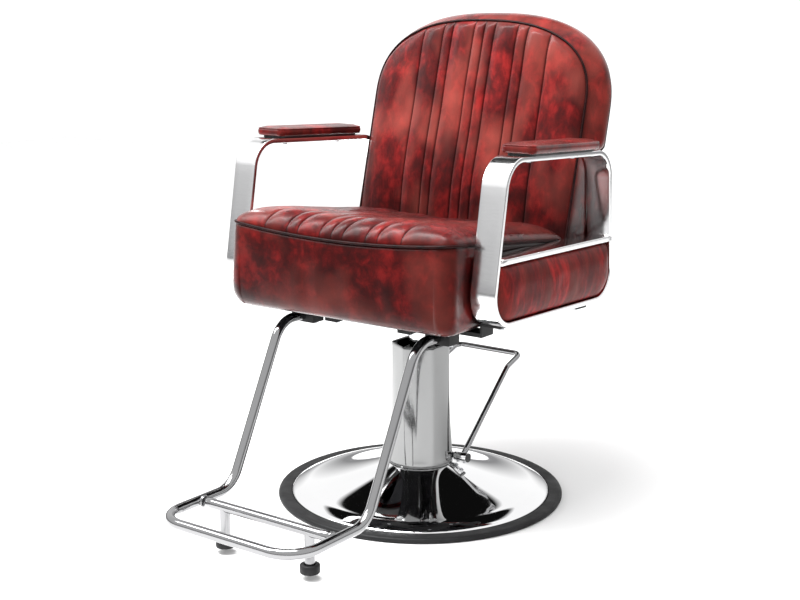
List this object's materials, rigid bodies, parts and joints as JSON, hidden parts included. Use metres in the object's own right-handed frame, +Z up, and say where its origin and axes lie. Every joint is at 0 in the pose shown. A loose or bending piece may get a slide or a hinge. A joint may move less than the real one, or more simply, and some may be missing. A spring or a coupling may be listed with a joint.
{
  "type": "hydraulic barber chair",
  "caption": "Salon barber chair: padded seat and arched back with flat metal loop arms, tubular footrest, hydraulic pump column with foot lever, round domed base.",
  "frame": {"origin": "centre of the round base, on the floor", "axes": "+Z up; the sitter faces -Y, where the footrest is; +X is the sitter's left; the pump is stored at its lowest with the seat facing straight ahead"},
  "size_m": [0.6734, 0.9238, 0.9833],
  "materials": {
    "rubber": "matte",
    "ballast": "matte",
    "polished_chrome": "polished",
    "satin_chrome": "satin",
    "steel": "satin",
    "black_metal": "semi-gloss",
    "vinyl": "satin",
    "piping": "satin",
    "plywood": "matte",
    "plastic": "matte"
  },
  "bodies": {
    "base": {"base_ring": "rubber", "base_plate": "ballast", "base_dome": "polished_chrome", "base_bolts": "steel", "pump_body": "black_metal", "pump_gland": "steel", "ram_wiper": "rubber", "column_shroud": "polished_chrome"},
    "plunger": {"pump_plunger": "steel", "plunger_spring": "steel"},
    "ram": {"ram": "polished_chrome", "thrust_washer": "steel"},
    "lever": {"lever_shaft": "steel", "lever_cam": "steel", "lever_bail": "polished_chrome", "lever_clamps": "polished_chrome", "lever_set_screws": "steel", "lever_end_caps": "plastic"},
    "seat": {"swivel_hub": "black_metal", "seat_plate": "black_metal", "plate_bolts": "steel", "long_rails": "black_metal", "cross_rails": "black_metal", "frame_bolts": "steel", "arm_brackets": "black_metal", "seat_board": "plywood", "seat_cushion": "vinyl", "seat_piping": "piping", "back_cushion": "vinyl", "back_piping": "piping", "back_board": "plywood", "back_cover": "vinyl", "back_brackets": "black_metal", "back_bolts": "steel", "arm_left": "satin_chrome", "arm_right": "satin_chrome", "arm_crossbar_left": "satin_chrome", "arm_crossbar_right": "satin_chrome", "arm_pad_left": "vinyl", "arm_pad_right": "vinyl", "pad_base_left": "plastic", "pad_base_right": "plastic", "side_panel_left": "vinyl", "side_panel_right": "vinyl", "arm_bolts": "steel", "pad_screws": "steel", "footrest_frame": "satin_chrome", "footrest_crossbar": "satin_chrome", "footrest_posts": "satin_chrome", "footrest_feet": "rubber", "footrest_saddles": "black_metal", "footrest_bolts": "steel"}
  },
  "joints": [
    {"name": "lift", "type": "slide", "parent": "base", "child": "ram", "axis": [0, 0, 1], "range_m": [0, 0.15]},
    {"name": "swivel", "type": "hinge", "parent": "ram", "child": "seat", "pos_m": [0, 0, 0.356], "axis": [0, 0, 1], "continuous": true},
    {"name": "lever_press", "type": "hinge", "parent": "base", "child": "lever", "pos_m": [0, 0.0365, 0.0821], "axis": [-1, 0, 0], "range_deg": [0, 28], "stiffness_Nm_per_rad": 20, "springref_deg": -20.05},
    {"name": "plunger_stroke", "type": "slide", "parent": "base", "child": "plunger", "axis": [0, 0, -1], "range_m": [0, 0.007], "deforming": ["plunger_spring"]}
  ],
  "couplings": [
    {"joint": "plunger_stroke", "follows": "lever_press", "m_per_rad": 0.014}
  ]
}
